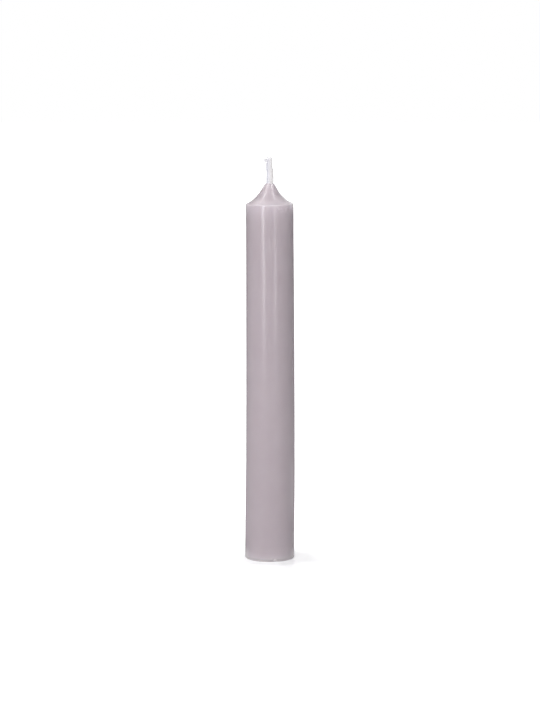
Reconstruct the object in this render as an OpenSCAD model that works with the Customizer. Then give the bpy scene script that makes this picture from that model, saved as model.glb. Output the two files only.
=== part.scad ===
// Dinner candle: a cast wax stick with a bell-shaped nose, on a plaited cotton wick.
// Millimetres, +Z up, origin at the middle of the base.

/* [Wax stick] */
// Diameter of the straight foot, the part that seats in a holder
foot_d = 22; // [19:0.1:26]
// Height of the straight foot
foot_h = 20; // [8:1:60]
// Diameter at the shoulder, at the top of the drafted stick
shoulder_d = 20.8; // [15:0.1:26]
// Height of the wax, from the base to the tip of the nose
wax_h = 168; // [90:1:300]
// Rounding of the bottom edge
base_edge_r = 0.4; // [0.1:0.1:2]

/* [Nose] */
// Height of the nose above the shoulder
nose_h = 8.9; // [6:0.1:14]
// How much flatter than a straight cone the nose runs at the shoulder, in degrees
shoulder_flare = 20.5; // [14:0.5:24]
// How much steeper than a straight cone the nose runs at its tip, in degrees
tip_flare = 10; // [4:0.5:12]
// Rounding of the shoulder's edge
shoulder_edge_r = 0.4; // [0.1:0.1:1]
// Rounding of the tip's edge
tip_edge_r = 0.25; // [0.05:0.05:0.3]
// Width of the ledge between the tip's edge and the wax film on the wick
tip_ledge = 0.4; // [0.2:0.01:1]

/* [Wick] */
// Width of the flat wick
wick_w = 2.5; // [1.5:0.1:4]
// Thickness of the flat wick
wick_t = 1.3; // [1:0.1:2.4]
// Length of wick that stands out of the nose
wick_out = 11.6; // [8:0.1:20]
// How far the top of the wick stands off to the left
wick_set = 0.33; // [0:0.01:1.5]
// How much lower the slanted cut runs at its left than at its right
cut_drop = 0.4; // [0:0.05:1]
// Height of the film of wax that climbs the wick
film_h = 4.6; // [1:0.1:6]
// Thickness of that film at its foot
film_t = 0.26; // [0.1:0.01:0.6]
// Thickness of that film at its top
film_top_t = 0.1; // [0.02:0.01:0.2]

/* [Plait] */
// Width of one strand of the plait
strand_w = 1.24; // [0.8:0.02:1.5]
// Thickness of one strand of the plait
strand_t = 0.8; // [0.6:0.02:1]
// Length of wick in which a strand crosses over and comes back
plait_pitch = 4.8; // [3:0.1:9]

/* [Hidden] */
$fn = 128;

wax_colour = [0.70, 0.66, 0.69];
wick_colour = [0.90, 0.89, 0.91];

// The stick: its radii, and the level where the nose begins
foot_r = foot_d / 2;
shoulder_r = shoulder_d / 2;
shoulder_z = wax_h - nose_h;
shoulder = [shoulder_r, shoulder_z];

// The nose: a hollow arc that leaves the shoulder at one slope and meets a straight cone at another.
// Both slopes are counted from the line between shoulder and tip.
tip = [wick_w / 2 + film_t + tip_ledge, wax_h];
chord_slope = atan2(tip.y - shoulder.y, shoulder.x - tip.x);
shoulder_slope = chord_slope - shoulder_flare;
cone_slope = chord_slope + tip_flare;
chord = norm(tip - shoulder);
arc_reach = chord * sin(tip_flare) / sin(shoulder_flare + tip_flare);
arc_r = arc_reach / tan((shoulder_flare + tip_flare) / 2);
arc_centre = shoulder + arc_r * [sin(shoulder_slope), cos(shoulder_slope)];
cone_foot = arc_centre - arc_r * [sin(cone_slope), cos(cone_slope)];

// The shoulder's edge: a small circle that touches the drafted wall and the hollow arc
wall_run = ([foot_r, foot_h] - shoulder) / norm([foot_r, foot_h] - shoulder);
wall_inward = [wall_run.y, -wall_run.x];
to_arc = shoulder + shoulder_edge_r * wall_inward - arc_centre;
along_wall = -to_arc * wall_run
    + sqrt((to_arc * wall_run) ^ 2 - to_arc * to_arc + (arc_r + shoulder_edge_r) ^ 2);
shoulder_edge = arc_centre + to_arc + along_wall * wall_run;
shoulder_edge_on_arc = arc_centre + (shoulder_edge - arc_centre) * arc_r / (arc_r + shoulder_edge_r);

// The tip's edge: a small circle that touches the cone and the flat top
tip_edge_run = tip_edge_r * tan(cone_slope / 2);
tip_edge = tip - [tip_edge_run, tip_edge_r];
tip_edge_on_cone = tip_edge + tip_edge_r * [sin(cone_slope), cos(cone_slope)];

// The wick: the wax holds it up to the top of the film, and the plait shows above
film_top_z = wax_h + film_h;
plait_h = wick_out - film_h;
wick_sides = 40;
ring_step = 0.2;
plait_rings = round(plait_h / ring_step);
// Height over which the strands come out of the film
plait_lead = 0.8;
// Share of the bare wick, from the film upwards, over which it leans aside
lean_share = 0.55;
// Share of the wick's section that stays filled between the strands
core_share = 0.8;
// How far the middle of the cut end stands proud
end_crown = 0.1;
// How far the wick's channel is cut past both ends of the wax
past_ends = 1;

// Takes the waste off a corner of a profile, outside a circle that touches both of its edges
module corner_waste(corner, centre, r, touch_a, touch_b) {
    outside = corner + 2 * (corner - centre);
    difference() {
        polygon([touch_a, outside, touch_b, centre]);
        translate(centre) circle(r);
    }
}

module wax_profile() {
    difference() {
        polygon([[0, 0], [foot_r, 0], [foot_r, foot_h], shoulder, cone_foot, tip, [0, wax_h]]);
        translate(arc_centre) circle(arc_r);
        corner_waste([foot_r, 0], [foot_r - base_edge_r, base_edge_r], base_edge_r,
            [foot_r - base_edge_r, 0], [foot_r, base_edge_r]);
        corner_waste(shoulder, shoulder_edge, shoulder_edge_r,
            shoulder_edge - shoulder_edge_r * wall_inward, shoulder_edge_on_arc);
        corner_waste(tip, tip_edge, tip_edge_r, tip_edge_on_cone, tip - [tip_edge_run, 0]);
    }
}

// A point of the wick's oval section at angle u, moved outwards by grow
function oval_point(u, grow = 0) = [(wick_w / 2 + grow) * cos(u), (wick_t / 2 + grow) * sin(u)];
function wick_oval(grow = 0) = [for (i = [0 : wick_sides - 1]) oval_point(360 * i / wick_sides, grow)];

// The film is a thin sleeve that tapers away up the wick
module wax_film() {
    taper = [(wick_w + 2 * film_top_t) / (wick_w + 2 * film_t),
             (wick_t + 2 * film_top_t) / (wick_t + 2 * film_t)];
    translate([0, 0, wax_h])
        linear_extrude(film_h, scale = taper, slices = 1, $fn = 4) polygon(wick_oval(film_t));
}

module wax_body() {
    color(wax_colour) difference() {
        union() {
            rotate_extrude() wax_profile();
            wax_film();
        }
        translate([0, 0, -past_ends])
            linear_extrude(film_top_z + 2 * past_ends) polygon(wick_oval());
    }
}

// The plait: three strands, a third of a turn apart, that swing from side to side and from front to back
function strand_at(k, z) =
    let (turn = 360 * (z / plait_pitch + k / 3))
    [(wick_w - strand_w) / 2 * sin(turn), (wick_t - strand_t) / 2 * sin(2 * turn)];

// How far a line from the middle, at angle a, runs before it leaves an oval centred at c, or 0 if it misses
function line_out(a, c, rx, ry) =
    let (u = [cos(a) / rx, sin(a) / ry], v = [c.x / rx, c.y / ry],
         root = (u * v) ^ 2 - (u * u) * (v * v - 1))
    root < 0 ? 0 : (u * v + sqrt(root)) / (u * u);

function plait_reach(a, z) =
    max([line_out(a, [0, 0], core_share * wick_w / 2, core_share * wick_t / 2),
         for (k = [0 : 2]) line_out(a, strand_at(k, z), strand_w / 2, strand_t / 2)]);

function smooth(s) = let (t = min(1, max(0, s))) t * t * (3 - 2 * t);

// A point of the plait at height z above the film, which leaves the oval section bit by bit
function plait_point(u, z) =
    let (p = oval_point(u), a = atan2(p.y, p.x), lead = smooth(z / plait_lead))
    (1 - lead) * p + lead * plait_reach(a, z) * [cos(a), sin(a)];

// The same point in its place: the wick leans over above the film, and its top is cut at a slant
function wick_point(u, share) =
    let (p = plait_point(u, share * plait_h), lean = smooth(share / lean_share) * wick_set)
    [p.x - lean, p.y,
     film_top_z + share * (plait_h - cut_drop / 2 + cut_drop * p.x / wick_w)];

function ring_faces(ring) =
    [for (i = [0 : wick_sides - 1])
        let (j = (i + 1) % wick_sides, low = ring * wick_sides, high = low + wick_sides)
        each [[low + i, high + i, high + j], [low + i, high + j, low + j]]];

module wick() {
    rings = [
        [for (p = wick_oval()) [p.x, p.y, 0]],
        for (k = [0 : plait_rings])
            [for (i = [0 : wick_sides - 1]) wick_point(360 * i / wick_sides, k / plait_rings)]
    ];
    top = len(rings) - 1;
    points = [for (ring = rings) each ring];
    base_middle = [0, 0, 0];
    top_middle = [-wick_set, 0, film_top_z + plait_h - cut_drop / 2 + end_crown];
    faces = [
        for (ring = [0 : top - 1]) each ring_faces(ring),
        for (i = [0 : wick_sides - 1]) [len(points), i, (i + 1) % wick_sides],
        for (i = [0 : wick_sides - 1])
            [len(points) + 1, top * wick_sides + (i + 1) % wick_sides, top * wick_sides + i]
    ];
    color(wick_colour) polyhedron([each points, base_middle, top_middle], faces);
}

wax_body();
wick();
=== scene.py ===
import math
import random

import bmesh
import bpy
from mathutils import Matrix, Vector, noise


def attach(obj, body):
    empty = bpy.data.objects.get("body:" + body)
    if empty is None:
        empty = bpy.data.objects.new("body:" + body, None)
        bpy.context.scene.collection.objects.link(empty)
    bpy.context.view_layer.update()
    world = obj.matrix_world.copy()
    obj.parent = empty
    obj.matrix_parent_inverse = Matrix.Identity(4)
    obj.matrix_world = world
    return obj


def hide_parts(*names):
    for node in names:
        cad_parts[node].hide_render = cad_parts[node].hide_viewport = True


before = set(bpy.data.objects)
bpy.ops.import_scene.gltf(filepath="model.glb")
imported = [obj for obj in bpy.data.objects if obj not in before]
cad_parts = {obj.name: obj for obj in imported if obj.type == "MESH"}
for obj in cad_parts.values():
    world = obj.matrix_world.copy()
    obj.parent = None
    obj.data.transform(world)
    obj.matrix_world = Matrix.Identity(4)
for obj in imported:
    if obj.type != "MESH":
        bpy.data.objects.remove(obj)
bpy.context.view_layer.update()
mm = 0.001
print("frame loaded:", ", ".join(sorted(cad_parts)))


# Shader sums: a wrapped socket can be added, taken away and multiplied as a number is

class Feed:
    def __init__(self, tree, socket):
        self.tree, self.socket = tree, socket

    def sum(self, operation, first, second):
        made = self.tree.nodes.new("ShaderNodeMath")
        made.operation = operation
        for socket, value in zip(made.inputs, (first, second)):
            plug(self.tree, socket, value)
        return Feed(self.tree, made.outputs[0])

    def __add__(self, other):
        return self.sum("ADD", self, other)

    def __radd__(self, other):
        return self.sum("ADD", other, self)

    def __sub__(self, other):
        return self.sum("SUBTRACT", self, other)

    def __rsub__(self, other):
        return self.sum("SUBTRACT", other, self)

    def __mul__(self, other):
        return self.sum("MULTIPLY", self, other)

    def __rmul__(self, other):
        return self.sum("MULTIPLY", other, self)


def plug(tree, socket, value):
    if isinstance(value, Feed):
        tree.links.new(value.socket, socket)
    else:
        socket.default_value = value


class NodeBench:  # lays out the nodes of one material or of the world
    def __init__(self, tree):
        self.tree = tree
        tree.nodes.clear()

    def node(self, kind, settings=None, sockets=None, out=0):
        made = self.tree.nodes.new("ShaderNode" + kind)
        for name, value in (settings or {}).items():
            if name == "stops":
                setStops(made.color_ramp, value)
            else:
                setattr(made, name, value)
        for name, value in (sockets or {}).items():
            plug(self.tree, made.inputs[name], value)
        return Feed(self.tree, made.outputs[out]) if len(made.outputs) else made

    def point(self):
        # the point in the object's own coordinates
        return self.node("TexCoord", out=3)

    def place(self, axis):
        # how far across (X), deep (Y) or high (Z) the point lies
        return self.node("SeparateXYZ", {}, {"Vector": self.point()}, out="XYZ".index(axis))

    def grain(self, point, size, detail):
        return self.node("TexNoise", {}, {"Vector": point, "Scale": size, "Detail": detail})

    def rise(self, value, low, high, top=1.0):
        # climbs softly from nothing at low to top at high, and falls where high is the lesser
        return self.node("MapRange", {"interpolation_type": "SMOOTHSTEP"}, {
            "Value": value, "From Min": low, "From Max": high, "To Max": top})

    def band(self, value, start, end):
        # rises over the first pair of values and falls again over the second
        return self.rise(value, *start) * (1.0 - self.rise(value, *end))

    def blend(self, share, first, second):
        return self.node("Mix", {"data_type": "RGBA"}, {0: share, 6: first, 7: second}, out=2)


def setStops(ramp, stops):
    for at, shade in stops[2:]:
        ramp.elements.new(at)
    for element, (at, shade) in zip(ramp.elements, stops):
        element.position = at
        element.color = shade


def newFinish(name):
    finish = bpy.data.materials.new(name)
    finish.use_nodes = True
    return finish, NodeBench(finish.node_tree)


# The wax: translucent, satin, a little uneven
# Pairs of places run from where a mark begins to show to where it is full

waxFinish = {
    "shade": (0.423, 0.367, 0.397, 1),
    "paleShade": (0.462, 0.405, 0.435, 1),
    # the pale shade of the painted glow, and of the pale patch
    "glowAndPatchShade": (0.66, 0.60, 0.64, 1),
    # painted light at the bottom edge and in its chip
    "footLightShade": (0.95, 0.84, 0.90, 1),
    # painted light at the ends of the shoulder's edge and at the sides of the foot
    "edgeLightShade": (0.85, 0.80, 0.84, 1),
    "collarShade": (0.72, 0.68, 0.72, 1),
    "scatterDepth": 10 * mm,
    "scatterRatio": (0.92, 0.94, 1.0),
    "refraction": 1.44,
    "roughness": 0.165,
    "roughnessSpread": 0.06,
    "cloudSize": 90.0,
    "cloudDetail": 3.0,
    "rippleSize": 260.0,
    "rippleDetail": 2.0,
    "rippleStretch": (1, 1, 0.3),
    "rippleStrength": 0.15,
    "rippleDepth": 0.2 * mm,
    # painted light: how much paler the wax is painted, by share of its height, at the foot for the
    # table's light and under the shoulder's edge and at the tip for light through the thin wax
    "paintedGlowByHeight": ((0.0, 1.0), (0.005, 0.85), (0.0125, 0.36), (0.022, 0.14), (0.04, 0.02),
                  (0.09, 0.0), (0.86, 0.0), (0.905, 0.08), (0.930, 0.22), (0.942, 0.23),
                  (0.948, 0.12), (0.955, 0.22), (0.966, 0.02), (0.985, 0.01), (1.0, 0.2)),
    # a rough, pale patch under the shoulder's edge, at the front and right
    "crumbSize": 700.0,
    "crumbDetail": 3.0,
    "crumbs": (0.46, 0.56),
    "patchShare": 0.5,
    "patchFoot": (155.3 * mm, 157.5 * mm),
    "patchTop": (157.8 * mm, 158.8 * mm),
    "patchLeft": (2.2 * mm, 3.2 * mm),
    "patchRight": (7.5 * mm, 9.5 * mm),
    "patchBack": (-2 * mm, 0.0),
    # painted light: the bottom edge is painted paler for the table's light on it, and so is the
    # one chip in it, an oval a little taller than wide
    "footLightTop": (0.2 * mm, 0.9 * mm),
    "chipUpright": 0.7,
    "chipEdge": (0.3, 1.3),
    "chipBack": (-4 * mm, -2 * mm),
    # painted light: the shoulder's edge is painted paler at both ends, less at the left, where its
    # outline catches light
    "edgeLightShare": 0.8,
    "edgeLightLeftShare": 0.3,
    "edgeLightAcross": (8.0 * mm, 10.4 * mm),
    "edgeLightFoot": (153.2 * mm, 159.2 * mm),
    "edgeLightTop": (160.0 * mm, 161.0 * mm),
    # so are the two sides of the foot
    "cornerShare": 0.8,
    "cornerAcross": (8.5 * mm, 10.6 * mm),
    "cornerTop": (0.5 * mm, 6.0 * mm),
    "collarFoot": (167.9 * mm, 168.6 * mm),
}


def mirrored(pair):
    return -pair[0], -pair[1]


def paleMarksAndPaintedLight(bench):
    # each mark's share, with the shade that it has: the pale patch, painted light at the bottom
    # edge, its chip, the ends of the shoulder's edge and the sides of the foot, and the collar
    f, rise, band = waxFinish, bench.rise, bench.band
    across, depth, height = bench.place("X"), bench.place("Y"), bench.place("Z")
    crumbs = rise(bench.grain(bench.point(), f["crumbSize"], f["crumbDetail"]), *f["crumbs"])
    patch = (crumbs * band(height, f["patchFoot"], f["patchTop"])
             * band(across, f["patchLeft"], f["patchRight"])
             * (1.0 - rise(depth, *f["patchBack"])))

    # painted light in the chip of the bottom rim, where the table shows through it, and along the
    # bottom edge
    chipAcross = (across - waxStick["baseNick"][0]) * (1 / mm)
    chipUp = height * (f["chipUpright"] / mm)
    chip = 1.0 - rise(chipAcross * chipAcross + chipUp * chipUp, *f["chipEdge"])
    paintedFootLight = 1.0 - rise(height, *f["footLightTop"]) + chip * (1.0 - rise(depth, *f["chipBack"]))

    # painted light at the ends of the shoulder's edge and at the sides of the foot
    ends = (rise(across, *f["edgeLightAcross"])
            + f["edgeLightLeftShare"] * rise(across, *mirrored(f["edgeLightAcross"])))
    corners = (rise(across, *f["cornerAcross"])
               + rise(across, *mirrored(f["cornerAcross"])))
    paintedEdgeLight = (ends * band(height, f["edgeLightFoot"], f["edgeLightTop"])
           + f["cornerShare"] * corners * (1.0 - rise(height, *f["cornerTop"])))
    return ((patch * f["patchShare"], f["glowAndPatchShade"]),
            (paintedFootLight, f["footLightShade"]),
            (paintedEdgeLight * f["edgeLightShare"], f["edgeLightShade"]),
            (rise(height, *f["collarFoot"]), f["collarShade"]))


def makeWaxFinish():
    f = waxFinish
    finish, bench = newFinish("lilacGreyWax")
    stretched = bench.node("Mapping", {}, {"Vector": bench.point(), "Scale": f["rippleStretch"]})
    cloud = bench.grain(bench.point(), f["cloudSize"], f["cloudDetail"])
    ripple = bench.grain(stretched, f["rippleSize"], f["rippleDetail"])
    colour = bench.blend(cloud, f["shade"], f["paleShade"])
    # painted light: the wax is painted paler by height near the foot, the shoulder's edge and the
    # tip
    stops = [(at, (share, share, share, 1)) for at, share in f["paintedGlowByHeight"]]
    heightShare = bench.place("Z") * (1 / waxStick["waxHeight"])
    thin = bench.node("ValToRGB", {"stops": stops}, {"Fac": heightShare})
    colour = bench.blend(thin, colour, f["glowAndPatchShade"])
    for share, shade in paleMarksAndPaintedLight(bench):
        colour = bench.blend(share, colour, shade)
    relief = bench.node("Bump", {}, {
        "Height": ripple, "Strength": f["rippleStrength"], "Distance": f["rippleDepth"]})
    shader = bench.node("BsdfPrincipled", {}, {
        "Base Color": colour,
        "Roughness": f["roughness"] + f["roughnessSpread"] * cloud,
        "Normal": relief,
        "IOR": f["refraction"],
        "Subsurface Weight": 1.0,
        "Subsurface Radius": f["scatterRatio"],
        "Subsurface Scale": f["scatterDepth"],
    })
    bench.node("OutputMaterial", {}, {"Surface": shader})
    return finish


# The cotton: pale yarn, stiff with wax

cottonFinish = {
    "shade": (0.622, 0.618, 0.68, 1),
    # warmer, and painted lighter against the shade at the right
    "warmAndLitShade": (0.70, 0.68, 0.667, 1),
    # painted shade for the left edge
    "leftPaintedShade": (0.53, 0.53, 0.59, 1),
    # painted light on the loose fibres and the cut
    "fibreLightShade": (0.92, 0.91, 0.94, 1),
    "roughness": 0.5,
    "roughnessSpread": 0.2,
    "scatterShare": 0.3,
    "scatterDepth": 0.2 * mm,
    "yarnSize": 4000.0,
    "yarnDetail": 4.0,
    "yarnStretch": (1, 1, 0.35),
    "yarnStrength": 0.15,
    "yarnDepth": 0.05 * mm,
    "stainSize": 420.0,
    "stainDetail": 2.0,
    "stainShare": 0.3,
    # the yarn is warmer at the right and painted lighter there against its shade, and has painted
    # shade along its left edge
    "warmAndLitAcross": (-1 * mm, 1 * mm),
    "paintedShadeAcross": (-0.6 * mm, -1.3 * mm),
    # painted light: the loose fibres at the upper left and the ends at the cut are painted paler
    # for the light that passes through them
    "looseAcross": (-0.9 * mm, -1.3 * mm),
    "looseFoot": (176.8 * mm, 177.5 * mm),
    "cutShare": 0.4,
    "cutFoot": (178.3 * mm, 179.3 * mm),
}


def makeCottonFinish():
    f = cottonFinish
    finish, bench = newFinish("waxedCotton")
    across, height = bench.place("X"), bench.place("Z")
    drawn = bench.node("Mapping", {}, {"Vector": bench.point(), "Scale": f["yarnStretch"]})
    yarn = bench.grain(drawn, f["yarnSize"], f["yarnDetail"])
    stain = bench.grain(bench.point(), f["stainSize"], f["stainDetail"])
    # warmer and painted lighter at the right, mixed with random stains
    warmthAndLight = (bench.rise(across, *f["warmAndLitAcross"]) * (1 - f["stainShare"])
              + stain * f["stainShare"])
    colour = bench.blend(warmthAndLight, f["shade"], f["warmAndLitShade"])
    # the marks lean with the wick
    leanEnd = wick["leanStart"] + wick["leanReach"]
    leaned = across + bench.rise(height, wick["leanStart"], leanEnd) * wick["setLeft"]
    # painted shade along the left edge
    colour = bench.blend(bench.rise(leaned, *f["paintedShadeAcross"]), colour, f["leftPaintedShade"])
    # painted light on the loose fibres and on the cut
    loose = (bench.rise(leaned, *f["looseAcross"]) * bench.rise(height, *f["looseFoot"])
             + f["cutShare"] * bench.rise(height, *f["cutFoot"]))
    colour = bench.blend(loose, colour, f["fibreLightShade"])
    relief = bench.node("Bump", {}, {
        "Height": yarn, "Strength": f["yarnStrength"], "Distance": f["yarnDepth"]})
    shader = bench.node("BsdfPrincipled", {}, {
        "Base Color": colour,
        "Roughness": f["roughness"] + f["roughnessSpread"] * yarn,
        "Normal": relief,
        "Subsurface Weight": f["scatterShare"],
        "Subsurface Radius": (1.0, 1.0, 1.0),
        "Subsurface Scale": f["scatterDepth"],
    })
    bench.node("OutputMaterial", {}, {"Surface": shader})
    return finish


# What the pieces share: soft steps and bells, sharp edges, and the mesh that a piece ends as

def smooth(share):
    share = min(1.0, max(0.0, share))
    return share * share * (3 - 2 * share)


def climb(value, low, high):
    return smooth((value - low) / (high - low))


def bell(value, middle, reach):
    return math.exp(-((value - middle) / reach) ** 2)


def markEdges(piece, sharpAngle):
    for face in piece.faces:
        face.smooth = True
    for edge in piece.edges:
        if len(edge.link_faces) == 2 and edge.calc_face_angle(0) > sharpAngle:
            edge.smooth = False


def settleMesh(name, piece, finish):
    mesh = bpy.data.meshes.new(name)
    piece.to_mesh(mesh)
    piece.free()
    mesh.materials.append(finish)
    made = bpy.data.objects.new(name, mesh)
    bpy.context.scene.collection.objects.link(made)
    return made


def addPiece(name, piece, finish, node):
    made = settleMesh(name, piece, finish)
    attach(made, "root")
    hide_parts(node)
    print(name, "made:", len(made.data.polygons), "faces")


# The wax stick: one profile, drawn with lines and arcs, then spun round

waxStick = {
    "footRadius": 11 * mm,
    "footHeight": 20 * mm,
    "shoulderRadius": 10.4 * mm,
    "waxHeight": 168 * mm,
    "noseHeight": 8.9 * mm,
    "baseEdge": 0.25 * mm,
    "shoulderFlare": math.radians(20.5),
    "tipFlare": math.radians(10),
    "shoulderEdge": 0.4 * mm,
    "tipEdge": 0.25 * mm,
    "tipRadius": 1.97 * mm,
    # the collar, where the wax turns up round the wick and ends inside it
    "collarWidth": 3.06 * mm,
    "collarHeight": 0.6 * mm,
    # its thickness as a share of its width
    "collarOval": 0.5,
    "collarInner": 0.7,
    "collarDip": 0.2 * mm,
    "meniscus": 0.34 * mm,
    # the pocket in the base, which the wick's end fills: half its width and thickness, its depth
    "wickPocket": (1.27 * mm, 0.67 * mm, 0.4 * mm),
    "pocketMargin": 1.01,
    "sides": 160,
    "sharpAngle": math.radians(40),
    "mergeWithin": 0.001 * mm,
    # how many steps each stretch of the profile is drawn in
    "steps": {"pocket": 2, "base": 6, "baseEdge": 6, "foot": 14, "wall": 96, "shoulderEdge": 6,
              "hollow": 20, "cone": 8, "tipEdge": 5, "meniscus": 7, "collar": 4},
    # the stick's bend to the right, where it lies along the stick, and where it has set in
    "bow": 0.33 * mm,
    "bowSkew": 0.7,
    "bowStart": 0.25,
    # how much the wall stands out all over, half way up and below the shoulder
    "fullness": 0.08 * mm,
    "belly": 0.02 * mm,
    "upperSwell": (0.05 * mm, 154 * mm, 5 * mm),
    # the share of the shoulder's radius from which a point belongs to the wall
    "wallFrom": 0.75,
    "waviness": 0.05 * mm,
    "waveMean": 0.25,
    "waveSwing": 0.6,
    # each wave: how close across and up the wall, how strong, and how far it is shifted
    "waves": ((260, 55, 1.0, 0), (620, 130, 0.6, 7)),
    # the chip in the front of the bottom rim: its place, its width and its depth
    "baseNick": (2.4 * mm, 0.8 * mm, 0.35 * mm),
    "nickHeight": 1.2 * mm,
    "nickInward": 0.8,
    "nickUpward": 0.6,
    # the shoulder stands a little higher on the right
    "shoulderLift": 0.4 * mm,
    "liftReach": 2.2 * mm,
    "liftSide": (0.5, 0.9545),
    # how much further the nose is hollowed on its right, at what height and over what height
    "noseHollow": (0.28 * mm, 163.8 * mm, 2.0 * mm),
    "hollowSide": (0.25, 0.875),
}


def lineTo(sketch, start, x, z, steps=1):
    origin = start.co.copy()
    for step in range(1, steps + 1):
        start = bmesh.ops.extrude_vert_indiv(sketch, verts=[start])["verts"][0]
        start.co = origin.lerp(Vector((x, 0, z)), step / steps)
    return start


def arcRound(sketch, start, centre, turn, steps):
    swept = bmesh.ops.spin(sketch, geom=[start], cent=(centre[0], 0, centre[1]),
                           axis=(0, 1, 0), angle=turn, steps=steps)
    return next(part for part in swept["geom_last"] if isinstance(part, bmesh.types.BMVert))


def drawFoot(sketch):
    s, steps = waxStick, waxStick["steps"]
    pocketWidth, pocketDepth = s["wickPocket"][0], s["wickPocket"][2]
    edge, edgeFrom = s["baseEdge"], s["footRadius"] - s["baseEdge"]
    point = sketch.verts.new((0, 0, pocketDepth))
    point = lineTo(sketch, point, pocketWidth, pocketDepth, steps["pocket"])
    point = lineTo(sketch, point, pocketWidth, 0, steps["pocket"])
    point = lineTo(sketch, point, edgeFrom, 0, steps["base"])
    point = arcRound(sketch, point, (edgeFrom, edge), -math.pi / 2, steps["baseEdge"])
    return lineTo(sketch, point, s["footRadius"], s["footHeight"], steps["foot"])


def drawWallAndNose(sketch, point):
    s, steps = waxStick, waxStick["steps"]
    shoulder = Vector((s["shoulderRadius"], s["waxHeight"] - s["noseHeight"]))
    tip = Vector((s["tipRadius"], s["waxHeight"]))
    run = tip - shoulder
    chordSlope = math.atan2(run.y, -run.x)
    slopeLow, slopeHigh = chordSlope - s["shoulderFlare"], chordSlope + s["tipFlare"]
    flare = s["shoulderFlare"] + s["tipFlare"]
    hollow = run.length * math.sin(s["tipFlare"]) / math.sin(flare) / math.tan(flare / 2)
    hollowCentre = shoulder + hollow * Vector((math.sin(slopeLow), math.cos(slopeLow)))
    coneFoot = hollowCentre - hollow * Vector((math.sin(slopeHigh), math.cos(slopeHigh)))

    # the shoulder's edge: a small circle that touches the drafted wall and the hollow
    wallRun = (Vector((s["footRadius"], s["footHeight"])) - shoulder).normalized()
    inward = Vector((wallRun.y, -wallRun.x))
    edge = s["shoulderEdge"]
    offset = shoulder + edge * inward - hollowCentre
    apart = offset.dot(wallRun) ** 2 - offset.dot(offset) + (hollow + edge) ** 2
    along = -offset.dot(wallRun) + math.sqrt(apart)
    edgeCentre = hollowCentre + offset + along * wallRun
    toHollow = (hollowCentre - edgeCentre).normalized()
    edgeStart = edgeCentre - edge * inward
    edgeTurn = math.atan2(-inward.x, -inward.y) - math.atan2(toHollow.x, toHollow.y)

    point = lineTo(sketch, point, edgeStart.x, edgeStart.y, steps["wall"])
    point = arcRound(sketch, point, edgeCentre, -edgeTurn, steps["shoulderEdge"])
    hollowStart = Vector((point.co.x, point.co.z)) - hollowCentre
    hollowEnd = coneFoot - hollowCentre
    hollowTurn = (math.atan2(hollowStart.y, hollowStart.x)
                  - math.atan2(hollowEnd.y, hollowEnd.x))
    point = arcRound(sketch, point, hollowCentre, hollowTurn % math.tau, steps["hollow"])

    # the tip's edge: a small circle that touches the cone and the flat top
    tipCentre = tip - Vector((s["tipEdge"] * math.tan(slopeHigh / 2), s["tipEdge"]))
    touch = tipCentre + s["tipEdge"] * Vector((math.sin(slopeHigh), math.cos(slopeHigh)))
    point = lineTo(sketch, point, touch.x, touch.y, steps["cone"])
    return arcRound(sketch, point, tipCentre, -slopeHigh, steps["tipEdge"])


def drawCollar(sketch, point):
    s, steps = waxStick, waxStick["steps"]
    collar, collarTop = s["collarWidth"] / 2, s["waxHeight"] + s["collarHeight"]
    ring = s["meniscus"]
    point = lineTo(sketch, point, collar + ring, s["waxHeight"])
    point = arcRound(sketch, point, (collar + ring, s["waxHeight"] + ring),
                     math.pi / 2, steps["meniscus"])
    point = lineTo(sketch, point, collar * s["collarInner"], collarTop, steps["collar"])
    lineTo(sketch, point, 0, collarTop - s["collarDip"])


def squashCore(corner, radius):
    # the collar and the wick's pocket are oval, and nothing else of the middle moves
    s = waxStick
    pocketWidth, pocketThickness, pocketDepth = s["wickPocket"]
    if corner.co.z > s["waxHeight"] and radius < s["tipRadius"]:
        reach = s["collarWidth"] / 2 + s["meniscus"]
        corner.co.y *= 1 - climb(reach - radius, 0, s["meniscus"]) * (1 - s["collarOval"])
        return True
    if radius < pocketWidth * s["pocketMargin"]:
        corner.co.y *= pocketThickness / pocketWidth
        return True
    return False


def wallPush(x, y, z, shoulderHeight):
    # how far a point of the wall stands out from the profile
    s = waxStick
    swell = sum(strength * noise.noise(Vector((x * close, y * close, z * closeUp + shift)))
                for close, closeUp, strength, shift in s["waves"])
    dent = max(0.0, s["waviness"] * (s["waveMean"] + s["waveSwing"] * swell))
    belly = s["belly"] * math.sin(math.pi * min(1.0, z / shoulderHeight))
    upper, upperAt, upperReach = s["upperSwell"]
    return s["fullness"] + belly + upper * bell(z, upperAt, upperReach) - dent


def settleWax(wax):
    s = waxStick
    shoulderHeight = s["waxHeight"] - s["noseHeight"]
    hollow, hollowAt, hollowReach = s["noseHollow"]
    nickAt, nickWidth, nickDepth = s["baseNick"]
    for corner in wax.verts:
        x, y, z = corner.co
        radius = math.hypot(x, y)
        if squashCore(corner, radius):
            continue
        outward, toRight = Vector((x, y, 0)) / radius, x / radius
        wallShare = climb(radius, s["wallFrom"] * s["shoulderRadius"], s["shoulderRadius"])
        corner.co -= (outward * hollow * bell(z, hollowAt, hollowReach)
                      * climb(toRight, *s["hollowSide"]))
        corner.co += outward * wallPush(x, y, z, shoulderHeight) * wallShare
        if y < 0 and z < s["nickHeight"]:
            bite = nickDepth * bell(x, nickAt, nickWidth) * (1 - z / s["nickHeight"]) * wallShare
            corner.co -= outward * bite * s["nickInward"]
            corner.co.z += bite * s["nickUpward"]
        corner.co.z += (s["shoulderLift"] * bell(z, shoulderHeight, s["liftReach"])
                        * climb(toRight, *s["liftSide"]) * wallShare)
        along = min(1.0, z / shoulderHeight) ** s["bowSkew"]
        corner.co.x += (s["bow"] * smooth(z / (s["bowStart"] * shoulderHeight))
                        * math.sin(math.pi * along))


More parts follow.
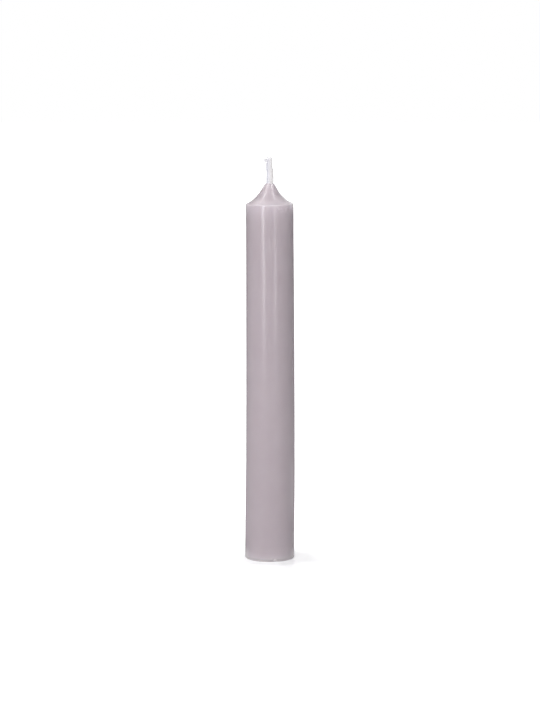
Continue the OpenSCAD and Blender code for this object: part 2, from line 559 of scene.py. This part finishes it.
def makeWaxStick(finish):
    wax = bmesh.new()
    drawCollar(wax, drawWallAndNose(wax, drawFoot(wax)))
    bmesh.ops.spin(wax, geom=wax.verts[:] + wax.edges[:], cent=(0, 0, 0), axis=(0, 0, 1),
                   angle=math.tau, steps=waxStick["sides"], use_merge=True)
    bmesh.ops.remove_doubles(wax, verts=wax.verts, dist=waxStick["mergeWithin"])
    bmesh.ops.recalc_face_normals(wax, faces=wax.faces)
    settleWax(wax)
    markEdges(wax, waxStick["sharpAngle"])
    addPiece("waxStick", wax, finish, "wax_body")


# The wick: an oval bar inside the wax, then three plaited strands, stiff with wax

wick = {
    "width": 2.5 * mm,
    "thickness": 1.3 * mm,
    "waxTop": 172.6 * mm,
    "top": 179.5 * mm,
    # it stands a little to the right, and leans to the left above the wax
    "setRight": 0.12 * mm,
    "setRightReach": 1.0 * mm,
    "setLeft": 0.28 * mm,
    "leanStart": 172.6 * mm,
    "leanReach": 3.0 * mm,
    # the sleeve of wax on the lower part of the wick, and the height over which it ends
    "sleeveWidth": 3.15 * mm,
    "sleeveThickness": 1.7 * mm,
    "sleeveEnd": 170.9 * mm,
    "sleeveFade": 2.2 * mm,
    # how much higher the cut runs at its left than at its right
    "cutRise": 0.06 * mm,
    "strands": 3,
    "strandWidth": 1.24 * mm,
    "strandThickness": 0.8 * mm,
    "pitch": 4.8 * mm,
    "yarns": 9,
    "yarnLay": 7.0 * mm,
    "yarnGroove": 0.03 * mm,
    "sides": 120,
    "ringStep": 0.07 * mm,
    "start": 168.1 * mm,
    # how deep the grooves of the plait are, and how full its middle is
    "plaitShare": 0.6,
    "coreShare": 0.98,
    # how sharply two strands meet, and the least reach that a missed strand counts for
    "strandJoin": 16,
    "leastReach": 0.1 * mm,
    # how much wider the plait is than the bar, and by how much more, where and how far it swells
    "spread": 1.09,
    "swell": (0.14, 173.8 * mm, 1.6 * mm),
    # the cut's edge is rounded in two steps, each with its width and its height
    "cutSteps": ((0.12 * mm, 0.03 * mm), (0.2 * mm, 0.02 * mm)),
    "sharpAngle": math.radians(50),
    # the bar inside the wax
    "barSides": 32,
    "barHeights": (0.12 * mm, 100 * mm, 168.5 * mm),
}

# The fibres of the wick: a wisp at the upper left, short ends on the cut, yarn ends in the base

fibre = {
    "seed": 17,
    "radius": 0.045 * mm,
    "wispCount": 56,
    "wispInset": 0.25 * mm,
    "wispBelowTop": 0.72 * mm,
    "wispReach": (1.0, 1.9),
    "wispFall": (0.0, 0.5),
    "wispSpread": (-0.35, 0.35),
    "wispRoot": (-1.2, 0.35),
    "wispRootSpread": 0.8,
    "wispArch": 0.12 * mm,
    "wispSteps": 8,
    "wispRadii": (0.9, 0.65),
    "endCount": 44,
    "endPlaces": (0.05, 0.8),
    "endDepth": 0.2 * mm,
    "endTall": (0.35, 0.6),
    "endBendAcross": (-0.16, 0.08),
    "endBendDeep": (-0.1, 0.1),
    "endShares": (0, 0.4, 0.75, 1),
    "endRadii": (1.1, 1.0, 0.8, 0.4),
    # the yarn ends: how thick, how many rows and columns, how close, and their tips
    "yarnRadius": 0.16 * mm,
    "yarnRows": 2,
    "yarnColumns": 4,
    "yarnApart": (1.9, 1.65),
    "yarnMargin": 1.02,
    "yarnLow": (0.02, 0.1),
    "yarnTip": (0.0, 0.04 * mm, 0.12 * mm),
    "yarnTipShares": (0.5, 0.85, 1.0, 1.0),
    "yarnTop": 0.6 * mm,
}


def leanAt(z):
    right = wick["setRight"] * smooth((z - wick["start"]) / wick["setRightReach"])
    return right - wick["setLeft"] * smooth((z - wick["leanStart"]) / wick["leanReach"])


def widthAt(z):
    share, swellAt, swellReach = wick["swell"]
    return wick["width"] * (wick["spread"] + share * bell(z, swellAt, swellReach))


def strandReach(strand, angle, z):
    # how far a line from the wick's middle runs before it leaves a strand,
    # less the groove between two yarns
    turn = math.tau * ((z - wick["waxTop"]) / wick["pitch"] + strand / wick["strands"])
    centre = Vector(((widthAt(z) - wick["strandWidth"]) / 2 * math.sin(turn),
                     (wick["thickness"] - wick["strandThickness"]) / 2 * math.sin(2 * turn)))
    half = Vector((wick["strandWidth"], wick["strandThickness"])) / 2
    ray = Vector((math.cos(angle) / half.x, math.sin(angle) / half.y))
    middle = Vector((centre.x / half.x, centre.y / half.y))
    root = ray.dot(middle) ** 2 - ray.dot(ray) * (middle.dot(middle) - 1)
    if root < 0:
        return 0.0
    reach = (ray.dot(middle) + math.sqrt(root)) / ray.dot(ray)
    around = ray * reach - middle
    lay = wick["yarns"] / 2 * (math.atan2(around.y, around.x) + math.pi * z / wick["yarnLay"])
    return reach - wick["yarnGroove"] * (1 - abs(math.sin(lay)))


def plaitPoint(turn, z):
    sleeve = 1 - smooth((z - wick["sleeveEnd"]) / wick["sleeveFade"])
    width = widthAt(z) + sleeve * (wick["sleeveWidth"] - widthAt(z))
    thickness = wick["thickness"] + sleeve * (wick["sleeveThickness"] - wick["thickness"])
    flat = Vector((math.cos(turn) * width, math.sin(turn) * thickness)) / 2
    angle = math.atan2(flat.y, flat.x)
    reaches = [max(strandReach(strand, angle, z), wick["leastReach"])
               for strand in range(wick["strands"])]
    top, join = max(reaches), wick["strandJoin"]
    joined = top * sum((reach / top) ** join for reach in reaches) ** (1 / join)
    shown = (1 - sleeve) * wick["plaitShare"]
    reach = flat.length + shown * (max(joined, wick["coreShare"] * flat.length) - flat.length)
    x, y = reach * math.cos(angle), reach * math.sin(angle)
    cutShare = max(0.0, (z - wick["waxTop"]) / (wick["top"] - wick["waxTop"]))
    slant = cutShare * wick["cutRise"] * (0.5 - x / wick["width"])
    return Vector((x + leanAt(z), y, z + slant))


def barPoint(turn, z):
    return Vector((math.cos(turn) * wick["width"] / 2, math.sin(turn) * wick["thickness"] / 2, z))


def addSweep(piece, sides, heights, pointAt):
    # a closed bar, drawn out ring by ring from a disc
    turns = piece.verts.layers.float.new("turn")
    disc = bmesh.ops.create_circle(piece, cap_ends=True, segments=sides, radius=1)["verts"]
    for corner in disc:
        corner[turns] = math.atan2(corner.co.y, corner.co.x)
        corner.co = pointAt(corner[turns], heights[0])
    faces = disc[0].link_faces[:]
    for height in heights[1:]:
        grown = bmesh.ops.extrude_face_region(piece, geom=faces)["geom"]
        # only the first disc stays, as the foot
        if height != heights[1]:
            bmesh.ops.delete(piece, geom=faces, context="FACES_ONLY")
        faces = [part for part in grown if isinstance(part, bmesh.types.BMFace)]
        for part in grown:
            if isinstance(part, bmesh.types.BMVert):
                part.co = pointAt(part[turns], height)
    piece.verts.layers.float.remove(turns)
    return faces


def addSpline(fibres, points, radii):
    spline = fibres.splines.new("POLY")
    spline.points.add(len(points) - 1)
    for point, place, radius in zip(spline.points, points, radii):
        point.co = (*place, 1)
        point.radius = radius
    spline.use_smooth = True


def addWisp(fibres, dice):
    # loose fibres that bend out and down at the top left of the cut
    f, steps = fibre, fibre["wispSteps"]
    left = leanAt(wick["top"]) - wick["width"] / 2 + f["wispInset"]
    corner = Vector((left, 0, wick["top"] - f["wispBelowTop"]))
    thick, thin = f["wispRadii"]
    for count in range(f["wispCount"]):
        reach = dice.uniform(*f["wispReach"]) * mm
        fall = dice.uniform(*f["wispFall"]) * mm
        spread = dice.uniform(*f["wispSpread"]) * mm
        rootUp = dice.uniform(*f["wispRoot"]) * mm
        root = corner + Vector((0, spread * f["wispRootSpread"], rootUp))
        shares = [step / steps for step in range(steps + 1)]
        points = [root + Vector((
            -reach * share, spread * share,
            f["wispArch"] * math.sin(math.pi * share) - fall * share * share)) for share in shares]
        addSpline(fibres, points, [thick + (thin - thick) * share for share in shares])


def addCutEnds(fibres, dice):
    # short ends that stand up from the cut
    f = fibre
    middle = plaitPoint(0, wick["top"]).lerp(plaitPoint(math.pi, wick["top"]), 0.5)
    for count in range(f["endCount"]):
        turn = dice.uniform(0, math.tau)
        out = math.sqrt(dice.uniform(*f["endPlaces"]))
        foot = middle.lerp(plaitPoint(turn, wick["top"]), out) - Vector((0, 0, f["endDepth"]))
        tall = dice.uniform(*f["endTall"]) * mm
        bendAcross = dice.uniform(*f["endBendAcross"])
        bend = Vector((bendAcross, dice.uniform(*f["endBendDeep"]), 0)) * mm
        points = [foot + Vector((0, 0, tall * share)) + bend * share * share
                  for share in f["endShares"]]
        addSpline(fibres, points, f["endRadii"])


def addBaseYarns(fibres, dice):
    # the ends of the yarns, seen in the base
    f, radius = fibre, fibre["yarnRadius"]
    radii = [share * radius / f["radius"] for share in f["yarnTipShares"]]
    acrossStep, deepStep = f["yarnApart"]
    for row in range(-f["yarnRows"], f["yarnRows"] + 1):
        for column in range(-f["yarnColumns"], f["yarnColumns"] + 1):
            x = (column + 0.5 * (row % 2)) * radius * acrossStep
            y = row * radius * deepStep
            if math.hypot(x / (wick["width"] / 2 - radius),
                          y / (wick["thickness"] / 2 - radius)) > f["yarnMargin"]:
                continue
            low = dice.uniform(*f["yarnLow"]) * mm
            heights = [low + tip for tip in f["yarnTip"]] + [f["yarnTop"]]
            addSpline(fibres, [Vector((x, y, z)) for z in heights], radii)


def makeFibres():
    dice = random.Random(fibre["seed"])
    fibres = bpy.data.curves.new("wickFibres", "CURVE")
    fibres.dimensions = "3D"
    fibres.bevel_depth = fibre["radius"]
    fibres.bevel_resolution = 1
    fibres.use_fill_caps = True
    addWisp(fibres, dice)
    addCutEnds(fibres, dice)
    addBaseYarns(fibres, dice)
    drawn = bpy.data.objects.new("wickFibres", fibres)
    bpy.context.scene.collection.objects.link(drawn)
    bpy.context.view_layer.update()
    evaluated = drawn.evaluated_get(bpy.context.evaluated_depsgraph_get())
    tubes = bpy.data.meshes.new_from_object(evaluated)
    bpy.data.objects.remove(drawn)
    return tubes


def makeWick(finish):
    piece = bmesh.new()
    piece.from_mesh(makeFibres())
    addSweep(piece, wick["barSides"], wick["barHeights"], barPoint)
    rings = round((wick["top"] - wick["start"]) / wick["ringStep"])
    heights = [wick["start"] + (wick["top"] - wick["start"]) * ring / rings
               for ring in range(rings + 1)]
    cut = addSweep(piece, wick["sides"], heights, plaitPoint)
    for inset, lift in wick["cutSteps"]:
        bmesh.ops.inset_region(piece, faces=cut, thickness=inset, depth=lift)
    bmesh.ops.poke(piece, faces=cut)
    bmesh.ops.recalc_face_normals(piece, faces=piece.faces)
    markEdges(piece, wick["sharpAngle"])
    addPiece("plaitedWick", piece, finish, "wick")


# The table: pale, and white to the eye where no shadow falls; near the foot the shape of the
# candle's shadow is partly painted by place

table = {
    "size": 6.0,
    "gap": 0.02 * mm,
    "shade": (0.60, 0.60, 0.61, 1),
    "seenShade": (0.85, 0.85, 0.86, 1),
    "lift": 0.07,
    # each further lift: where it starts, where it is full, and how much it adds,
    # by distance from the candle's middle, by depth and by place across;
    # by place they shape the candle's shadow, and those that take away paint it darker at the
    # front and right
    "awayLifts": ((13.5 * mm, 22 * mm, 0.21), (22 * mm, 50 * mm, 0.35), (50 * mm, 300 * mm, 0.3)),
    "depthLifts": ((-12 * mm, -1 * mm, 0.17), (-2 * mm, 16 * mm, 0.18),
                   (-10 * mm, -3 * mm, 0.05), (-8.5 * mm, -11.2 * mm, 0.05),
                   (-11.2 * mm, -13.5 * mm, -0.065)),
    "acrossLifts": ((-6 * mm, -12 * mm, 0.05), (1.5 * mm, 7 * mm, -0.10),
                    (10 * mm, 11.8 * mm, 0.105), (18 * mm, 32 * mm, 0.06)),
    # painted shadow: the shadow's end at the right is painted darker: how much,
    # between which places across, and behind which depth
    "paintedShadowTail": 0.16,
    "tailStart": (13.0 * mm, 18.5 * mm),
    "tailEnd": (22 * mm, 34 * mm),
    "tailDepth": (-16 * mm, -6 * mm),
}


def makeTable():
    finish, bench = newFinish("paleTable")
    across, depth = bench.place("X"), bench.place("Y")
    away = bench.node("VectorMath", {"operation": "LENGTH"}, {0: bench.point()}, out=1)
    lift = table["lift"]
    for value, lifts in ((away, table["awayLifts"]), (depth, table["depthLifts"]),
                         (across, table["acrossLifts"])):
        for start, end, more in lifts:
            lift = lift + bench.rise(value, start, end, more)
    # painted shadow at the right of the foot
    paintedShadowTail = (bench.band(across, table["tailStart"], table["tailEnd"])
            * bench.rise(depth, *table["tailDepth"]))
    glow = bench.node("Emission", {}, {"Color": lift - paintedShadowTail * table["paintedShadowTail"], "Strength": 1.0})
    faint = bench.node("BsdfDiffuse", {}, {"Color": table["seenShade"]})
    lifted = bench.node("AddShader", {}, {0: faint, 1: glow})
    soft = bench.node("BsdfDiffuse", {}, {"Color": table["shade"]})
    # the camera sees the lifted table, the candle is lit by the plain one
    top = bench.node("MixShader", {}, {0: bench.node("LightPath"), 1: soft, 2: lifted})
    # from below, at its back faces, the table is clear, so that the base can be looked at
    under, clear = bench.node("NewGeometry", out=6), bench.node("BsdfTransparent")
    bench.node("OutputMaterial", {}, {
        "Surface": bench.node("MixShader", {}, {0: under, 1: top, 2: clear})})
    piece = bmesh.new()
    bmesh.ops.create_grid(piece, x_segments=1, y_segments=1, size=table["size"])
    bmesh.ops.translate(piece, verts=piece.verts, vec=(0, 0, -table["gap"]))
    settleMesh("table", piece, finish)
    print("table laid")


# Light: azimuth is counted from the camera, to the right, in degrees; lengths are in metres

studio = {
    "roomLevel": 0.16,
    # upright lamps: name, azimuth, distance, lowest, highest, width, radiance
    "lamps": (
        ("leftStrip", -31.2, 0.9, 0.0, 0.9, 0.21, 5.8),
        ("frontSoftbox", -20, 1.5, 0.2, 1.8, 1.6, 1.42),
        ("rightStrip", 25.4, 0.70, 0.0, 0.6, 0.12, 3.5),
    ),
    # square lamps that face the candle's lower half: name, place, size, radiance
    "softboxAim": (0, 0, 0.08),
    "softboxes": (
        ("topFront", (-0.05, -1.0, 0.75), 0.6, 1.52),
        ("topBack", (-0.25, 0.70, 1.2), 0.7, 0.69),
        ("rightLow", (0.10, 0.05, 0.012), 0.03, 1.0),
    ),
    # strips that hang level overhead: name, middle, turn, width, length, radiance
    "overheads": (
        ("topLeftNear", (-0.43, -0.120, 0.87), -10, 0.17, 0.36, 10.2),
        ("topLeftFar", (-0.315, 0.180, 0.87), -18, 0.18, 0.24, 2.0),
        ("topRightNear", (0.41, -0.120, 0.87), 10, 0.27, 0.36, 7.6),
        ("topRightFar", (0.290, 0.180, 0.87), 18, 0.20, 0.24, 1.6),
    ),
    # a dark card that only the gloss mirrors: name, middle, width, height, how bright
    "card": ("backLeftCard", (-0.49, 0.8, 0.52), 0.94, 0.66, 0.35),
}


def addLamp(name, place, aim, width, tall, radiance):
    lamp = bpy.data.lights.new(name, "AREA")
    lamp.shape = "RECTANGLE"
    lamp.size, lamp.size_y = width, tall
    lamp.energy = radiance * math.pi * width * tall
    made = bpy.data.objects.new(name, lamp)
    bpy.context.scene.collection.objects.link(made)
    made.location = place
    made.rotation_euler = (Vector(aim) - Vector(place)).to_track_quat("-Z", "Y").to_euler()
    made.visible_camera = False
    return made


def addCard(name, place, width, tall, level):
    finish, bench = newFinish(name)
    glow = bench.node("Emission", {}, {"Color": (1, 1, 1, 1), "Strength": level})
    bench.node("OutputMaterial", {}, {"Surface": glow})
    # a square of one metre, brought to size and stood up
    piece = bmesh.new()
    bmesh.ops.create_grid(piece, x_segments=1, y_segments=1, size=0.5)
    for corner in piece.verts:
        corner.co = Vector(place) + Vector((corner.co.x * width, 0, corner.co.y * tall))
    made = settleMesh(name, piece, finish)
    made.visible_camera = made.visible_diffuse = made.visible_shadow = False


def lightRoom():
    # white to the camera, to mirrors and through clear things, and dim to everything else
    world = bpy.data.worlds.new("paleRoom")
    bpy.context.scene.world = world
    world.use_nodes = True
    bench = NodeBench(world.node_tree)
    seen, mirroredRay, passedRay = (bench.node("LightPath", out=ray) for ray in (0, 3, 6))
    either = bench.node("Math", {"operation": "MAXIMUM"}, {0: mirroredRay, 1: passedRay})
    shown = bench.node("Math", {"operation": "MAXIMUM"}, {0: seen, 1: either})
    level = studio["roomLevel"] + (1 - studio["roomLevel"]) * shown
    bench.node("OutputWorld", {}, {"Surface": bench.node("Background", {}, {
        "Color": (1, 1, 1, 1), "Strength": level})})


def lightStudio():
    for name, azimuth, distance, low, high, width, radiance in studio["lamps"]:
        turn = math.radians(azimuth)
        middle = (low + high) / 2
        addLamp(name, (math.sin(turn) * distance, -math.cos(turn) * distance, middle),
                (0, 0, middle), width, high - low, radiance)
    for name, place, size, radiance in studio["softboxes"]:
        addLamp(name, place, studio["softboxAim"], size, size, radiance)
    for name, place, turn, width, length, radiance in studio["overheads"]:
        strip = addLamp(name, place, (place[0], place[1], 0), width, length, radiance)
        strip.rotation_euler = (0, 0, math.radians(turn))
    addCard(*studio["card"])
    lightRoom()
    print("studio lit")


# The camera looks a little down on the candle; its place is in metres

view = {
    "place": (0.00014, -0.971, 0.226),
    "tilt": 82,
    "lens": 110,
    "sensor": 36,
}


def setCamera():
    lens = bpy.data.cameras.new("front")
    lens.lens, lens.sensor_width = view["lens"], view["sensor"]
    made = bpy.data.objects.new("front", lens)
    bpy.context.scene.collection.objects.link(made)
    made.location = view["place"]
    made.rotation_euler = (math.radians(view["tilt"]), 0, 0)
    bpy.context.scene.camera = made
    print("camera set")


makeWaxStick(makeWaxFinish())
makeWick(makeCottonFinish())
makeTable()
lightStudio()
setCamera()
bpy.context.scene.view_settings.view_transform = "Standard"
